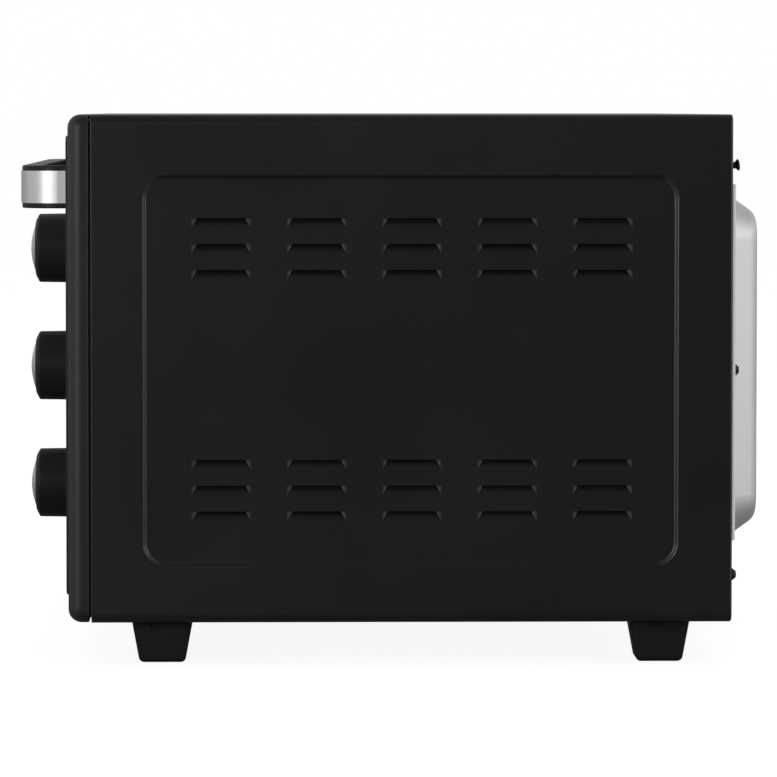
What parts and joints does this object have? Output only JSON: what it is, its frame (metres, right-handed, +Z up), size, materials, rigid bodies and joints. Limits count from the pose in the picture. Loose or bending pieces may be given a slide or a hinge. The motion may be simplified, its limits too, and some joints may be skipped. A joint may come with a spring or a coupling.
{
  "type": "toaster oven",
  "caption": "Countertop toaster oven with a louvred black wrap, drop-down glass door with a bar handle, turning knobs, sliding wire rack and crumb tray, and a rear bulge behind the cavity",
  "frame": {"origin": "on the ground under the centre of the overall box", "axes": "+X to the right seen from the front, along the width; -Y towards the user; +Z up"},
  "size_m": [0.53, 0.415, 0.2912],
  "materials": {
    "shell": "satin black paint",
    "bezel": "satin black moulding",
    "panel": "satin black paint",
    "foot": "matt black",
    "handle_black": "satin black",
    "trim": "satin plated",
    "knob": "satin black",
    "rear_sheet": "galvanised",
    "zinc": "galvanised",
    "liner": "aluminised",
    "glass": "clear, toughened",
    "heater": "oxidised",
    "insulator": "unglazed",
    "phenolic": "moulded",
    "steel_screw": "plain",
    "black_screw": "black oxide",
    "bush": "plain",
    "lamp": "translucent red",
    "rack_wire": "bright",
    "tray": "plain"
  },
  "bodies": {
    "cabinet": {"outer_shell": "shell", "front_bezel": "bezel", "hinge_bush_left": "bush", "hinge_bush_right": "bush", "control_panel": "panel", "front_frame": "zinc", "base_pan": "zinc", "foot_front_left": "foot", "foot_front_right": "foot", "foot_rear_left": "foot", "foot_rear_right": "foot", "foot_screws": "steel_screw", "rear_panel": "rear_sheet", "rear_screws": "black_screw", "cord_inlet": "foot", "cavity_left": "liner", "cavity_right": "liner", "cavity_roof": "liner", "cavity_rear": "liner", "heat_shield": "zinc", "upper_heaters": "heater", "lower_heaters": "heater", "heater_insulators": "insulator", "thermostat": "zinc", "function_switch": "phenolic", "timer": "zinc", "timer_bell": "trim", "lamp_lens": "lamp", "lamp_holder": "foot"},
    "door": {"door_frame": "bezel", "door_glass": "glass", "door_liner": "liner", "hinge_pin_left": "steel_screw", "hinge_pin_right": "steel_screw", "handle_core": "handle_black", "handle_band": "trim", "handle_screws": "steel_screw", "rack_hooks": "rack_wire"},
    "rack": {"wire_rack": "rack_wire"},
    "tray": {"crumb_tray": "tray"},
    "temperature_knob": {"knob_temperature": "knob", "knob_insert_temperature": "trim", "shaft_temperature": "steel_screw"},
    "function_knob": {"knob_function": "knob", "knob_insert_function": "trim", "shaft_function": "steel_screw"},
    "timer_knob": {"knob_timer": "knob", "knob_insert_timer": "trim", "shaft_timer": "steel_screw"}
  },
  "joints": [
    {"name": "door_hinge", "type": "hinge", "parent": "cabinet", "child": "door", "pos_m": [0, -0.16925, 0.0495], "axis": [1, 0, 0], "range_deg": [0, 90]},
    {"name": "rack_slide", "type": "slide", "parent": "cabinet", "child": "rack", "axis": [0, -1, 0], "range_m": [0, 0.0985]},
    {"name": "tray_slide", "type": "slide", "parent": "cabinet", "child": "tray", "axis": [0, -1, 0], "range_m": [0, 0.15]},
    {"name": "temperature_turn", "type": "hinge", "parent": "cabinet", "child": "temperature_knob", "pos_m": [0.19545, -0.17625, 0.219], "axis": [0, 1, 0], "range_deg": [0, 270]},
    {"name": "function_turn", "type": "hinge", "parent": "cabinet", "child": "function_knob", "pos_m": [0.19545, -0.17625, 0.1555], "axis": [0, 1, 0], "range_deg": [0, 240]},
    {"name": "timer_turn", "type": "hinge", "parent": "cabinet", "child": "timer_knob", "pos_m": [0.19545, -0.17625, 0.092], "axis": [0, 1, 0], "range_deg": [0, 300]}
  ],
  "couplings": [
    {"joint": "rack_slide", "follows": "door_hinge", "m_per_rad": 0.062706}
  ]
}
